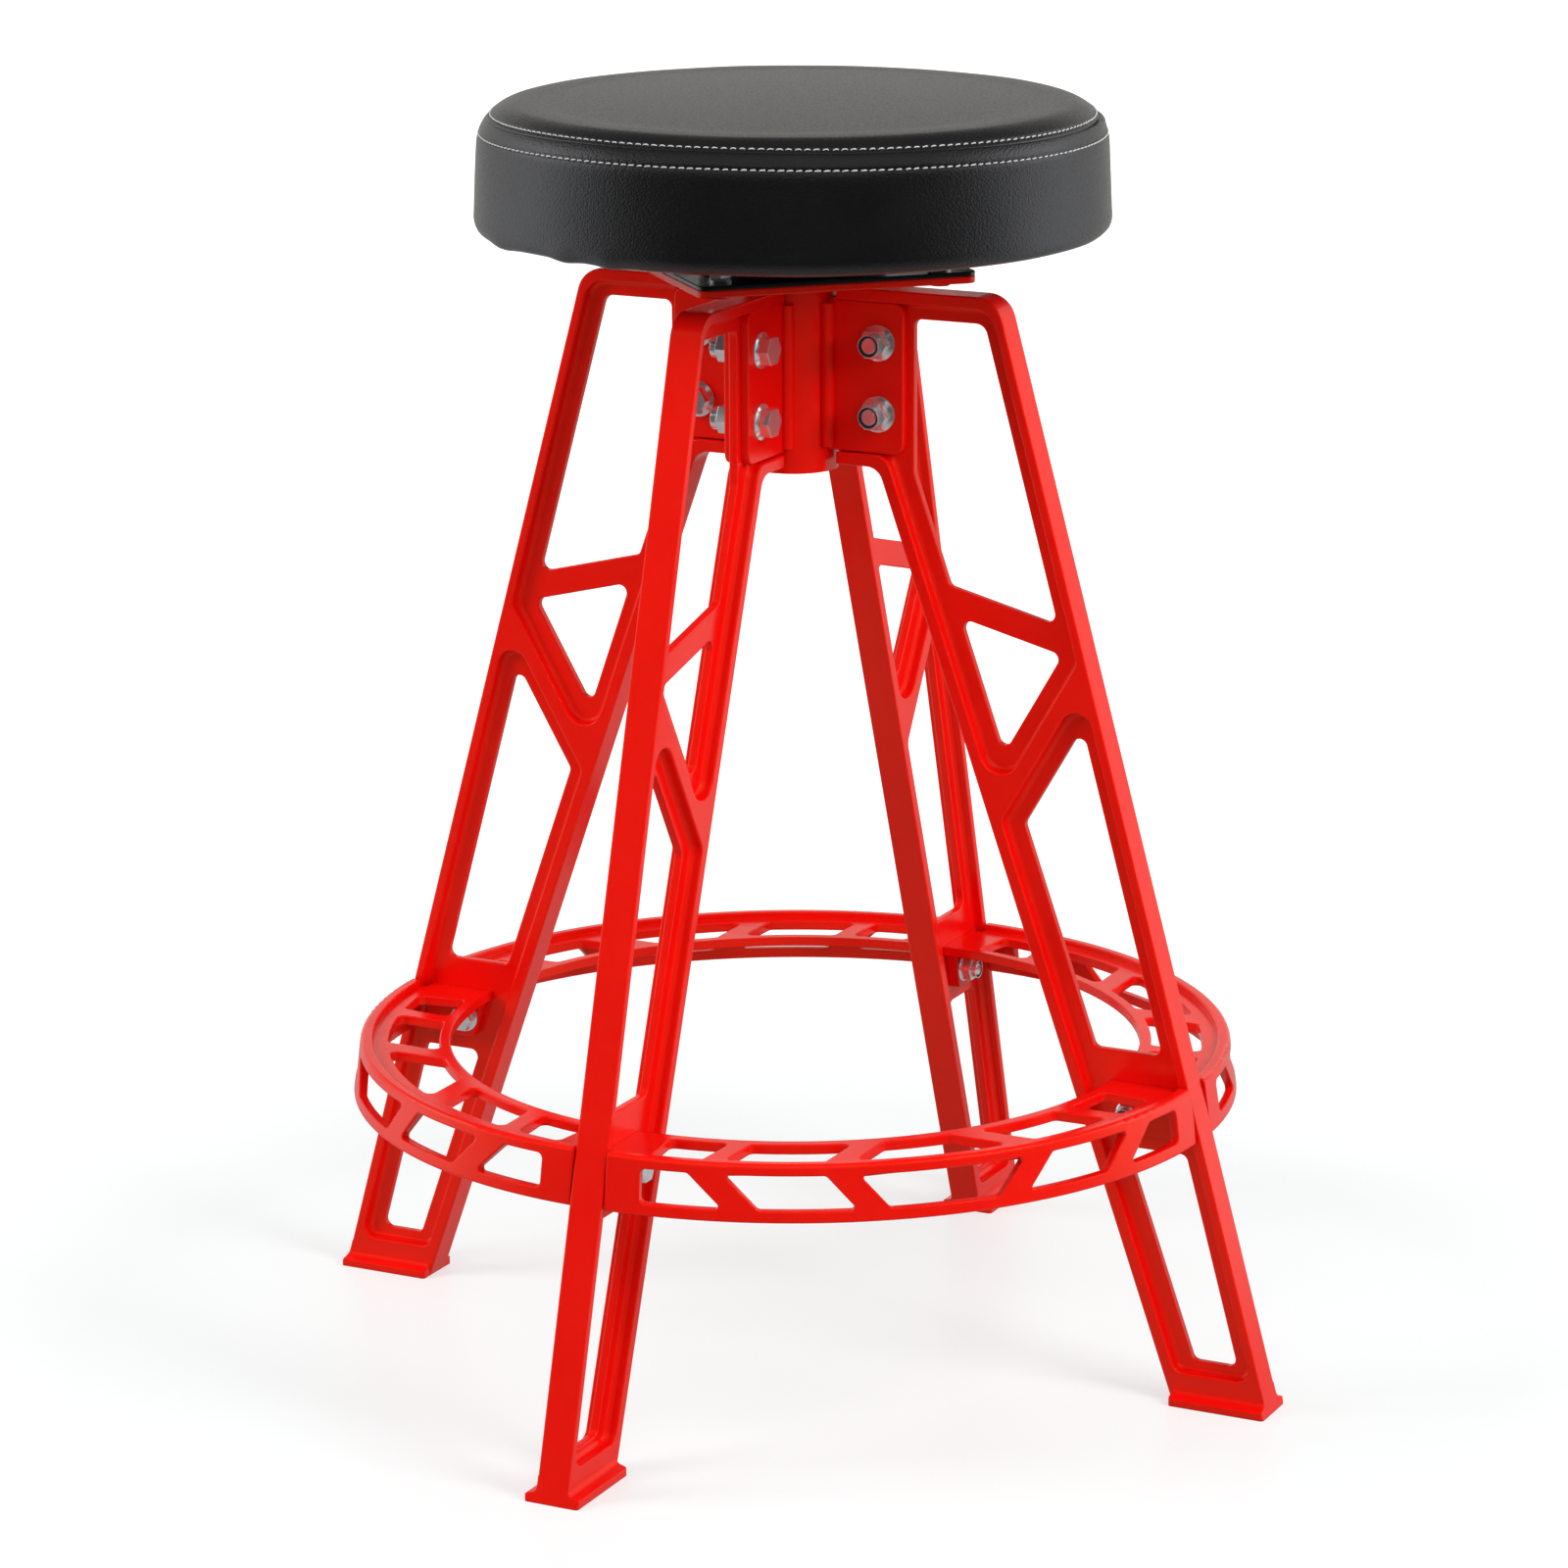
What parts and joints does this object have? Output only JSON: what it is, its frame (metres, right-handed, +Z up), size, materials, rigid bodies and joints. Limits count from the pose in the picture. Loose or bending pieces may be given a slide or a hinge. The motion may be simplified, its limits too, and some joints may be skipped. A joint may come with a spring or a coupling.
{
  "type": "shop stool",
  "caption": "Swivel shop stool: a round padded leather seat on splayed cast truss legs, braced by a pierced footring.",
  "frame": {"origin": "on the floor, on the seat's swivel axis", "axes": "+Z up along the swivel axis, +X along one leg and +Y along the next"},
  "size_m": [0.5992, 0.5992, 0.7249],
  "materials": {
    "red_coat": "gloss red powder coat",
    "zinc": "bright zinc plate",
    "bright_steel": "bright plated steel",
    "nylon": "dark moulded nylon",
    "black_coat": "pressed steel with a gloss black coat",
    "plywood": "bare plywood",
    "foam": "open-cell foam",
    "black_leather": "black grained leather with a soft sheen",
    "black_cloth": "thin black cloth",
    "white_thread": "thick sewing thread"
  },
  "bodies": {
    "frame": {"leg_right": "red_coat", "leg_back": "red_coat", "leg_left": "red_coat", "leg_front": "red_coat", "footring_right_back": "red_coat", "footring_back_left": "red_coat", "footring_left_front": "red_coat", "footring_front_right": "red_coat", "ear_right_head_side": "red_coat", "ear_right_nut_side": "red_coat", "ear_back_head_side": "red_coat", "ear_back_nut_side": "red_coat", "ear_left_head_side": "red_coat", "ear_left_nut_side": "red_coat", "ear_front_head_side": "red_coat", "ear_front_nut_side": "red_coat", "hub_tube": "red_coat", "hub_top_plate": "red_coat", "ear_welds": "red_coat", "top_plate_weld": "red_coat", "leg_bolts": "zinc", "leg_nuts": "zinc", "leg_nut_inserts": "nylon", "footring_bolts": "zinc", "footring_nuts": "zinc", "footring_nut_inserts": "nylon", "swivel_lower_plate": "black_coat", "swivel_rivet": "zinc", "swivel_bolts": "bright_steel", "swivel_washers": "bright_steel", "swivel_nuts": "bright_steel"},
    "ball_cage": {"swivel_ball_cage": "nylon", "swivel_balls": "zinc"},
    "seat": {"swivel_upper_plate": "black_coat", "seat_board": "plywood", "seat_foam": "foam", "seat_cover_band": "black_leather", "seat_cover_top": "black_leather", "seat_dust_cover": "black_cloth", "seat_stitch_lower": "white_thread", "seat_stitch_upper": "white_thread", "seat_screws": "zinc", "seat_tee_nuts": "zinc"}
  },
  "joints": [
    {"name": "seat_swivel", "type": "hinge", "parent": "frame", "child": "seat", "pos_m": [0, 0, 0.6429], "axis": [0, 0, 1], "continuous": true},
    {"name": "ball_cage_turn", "type": "hinge", "parent": "frame", "child": "ball_cage", "pos_m": [0, 0, 0.6429], "axis": [0, 0, 1], "continuous": true}
  ],
  "couplings": [
    {"joint": "ball_cage_turn", "follows": "seat_swivel", "ratio": 0.5}
  ]
}
